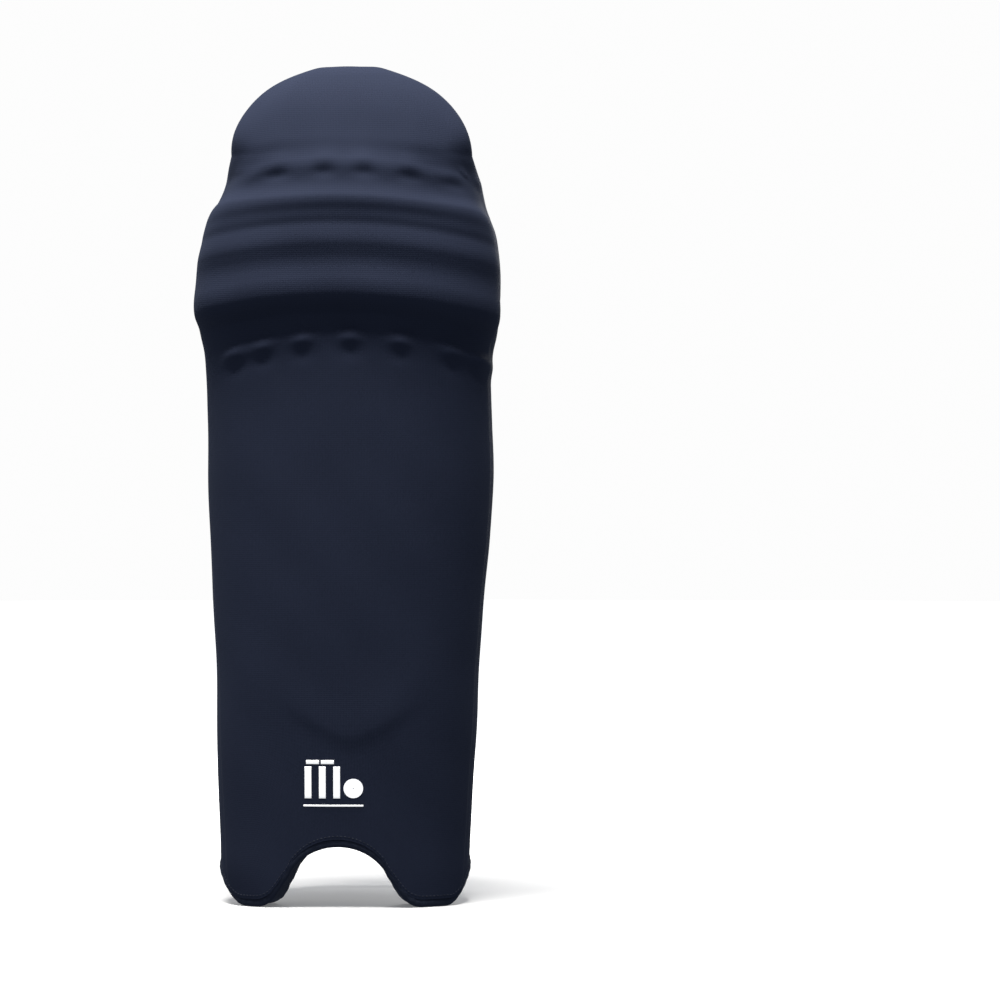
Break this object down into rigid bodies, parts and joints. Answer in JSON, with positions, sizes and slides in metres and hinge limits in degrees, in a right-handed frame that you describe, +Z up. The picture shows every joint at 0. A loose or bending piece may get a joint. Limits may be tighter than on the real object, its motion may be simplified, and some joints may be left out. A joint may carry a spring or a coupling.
{
  "type": "cricket leg pad",
  "caption": "Right-leg cricket batting pad in a navy stretch cover, with knee rolls, a hinged top flap, wings and closing straps.",
  "frame": {"origin": "centre of the bounding box's base, under the lobes that the pad stands on", "axes": "+Z up the leg, -Y to the pad's front, -X to the outer (wider) wing"},
  "size_m": [0.2443, 0.196, 0.6786],
  "materials": {
    "navy_knit": "matt stretch knit",
    "navy_binding": "matt folded binding",
    "white_leather": "smooth facing",
    "cane": "plain cane",
    "foam": "matt foam",
    "navy_lining": "brushed lining",
    "webbing": "woven webbing",
    "strap_pad": "padded strap fabric",
    "loop_tape": "soft loop tape",
    "hook_tape": "hook tape"
  },
  "bodies": {
    "shin": {"ankle_loop_patch": "loop_tape", "ankle_strap_anchor": "webbing", "calf_loop_patch": "loop_tape", "calf_strap_anchor": "webbing", "cover_hem": "navy_binding", "inner_rear_elastic": "navy_binding", "inner_shin_bolster": "navy_lining", "inner_wing": "foam", "inner_wing_lining": "navy_lining", "instep_guard": "foam", "outer_rear_elastic": "navy_binding", "outer_shin_bolster": "navy_lining", "outer_wing": "foam", "outer_wing_lining": "navy_lining", "shin_cane_1": "cane", "shin_cane_2": "cane", "shin_cane_3": "cane", "shin_cane_4": "cane", "shin_cane_5": "cane", "shin_cane_6": "cane", "shin_cane_7": "cane", "shin_cover": "navy_knit", "shin_face": "white_leather", "shin_foam": "foam", "shin_lining": "navy_lining"},
    "knee_block": {"inner_knee_cup": "navy_lining", "inner_knee_wing": "foam", "knee_board": "foam", "knee_cover": "navy_knit", "knee_lining": "navy_lining", "knee_loop_patch": "loop_tape", "knee_strap_anchor": "webbing", "lower_knee_roll": "white_leather", "middle_knee_roll": "white_leather", "outer_knee_cup": "navy_lining", "outer_knee_wing": "foam", "upper_knee_roll": "white_leather"},
    "top_flap": {"flap_board": "foam", "flap_cane_1": "cane", "flap_cane_2": "cane", "flap_cane_3": "cane", "flap_cane_4": "cane", "flap_cane_5": "cane", "flap_cane_6": "cane", "flap_cover": "navy_knit", "flap_edge_binding": "navy_binding", "flap_face": "white_leather", "flap_lining": "navy_lining", "flap_piping": "navy_binding"},
    "ankle_strap": {"ankle_hook_tab": "hook_tape", "ankle_strap_band": "webbing", "ankle_strap_pad": "strap_pad"},
    "calf_strap": {"calf_hook_tab": "hook_tape", "calf_strap_band": "webbing", "calf_strap_pad": "strap_pad"},
    "knee_strap": {"knee_hook_tab": "hook_tape", "knee_strap_band": "webbing", "knee_strap_pad": "strap_pad"}
  },
  "joints": [
    {"name": "knee_flex", "type": "hinge", "parent": "shin", "child": "knee_block", "pos_m": [0, 0, 0.47], "axis": [-1, 0, 0], "range_deg": [-6, 20], "stiffness_Nm_per_rad": 6},
    {"name": "flap_flex", "type": "hinge", "parent": "knee_block", "child": "top_flap", "pos_m": [0, -0.062, 0.59], "axis": [-1, 0, 0], "range_deg": [-10, 15], "stiffness_Nm_per_rad": 2},
    {"name": "ankle_strap_swing", "type": "hinge", "parent": "shin", "child": "ankle_strap", "pos_m": [0.0788, 0.05346, 0.096], "axis": [0, 0, -1], "range_deg": [0, 95]},
    {"name": "calf_strap_swing", "type": "hinge", "parent": "shin", "child": "calf_strap", "pos_m": [0.09123, 0.05549, 0.285], "axis": [0, 0, -1], "range_deg": [0, 95]},
    {"name": "knee_strap_swing", "type": "hinge", "parent": "knee_block", "child": "knee_strap", "pos_m": [0.1, 0.05674, 0.51], "axis": [0, 0, -1], "range_deg": [0, 95]}
  ]
}
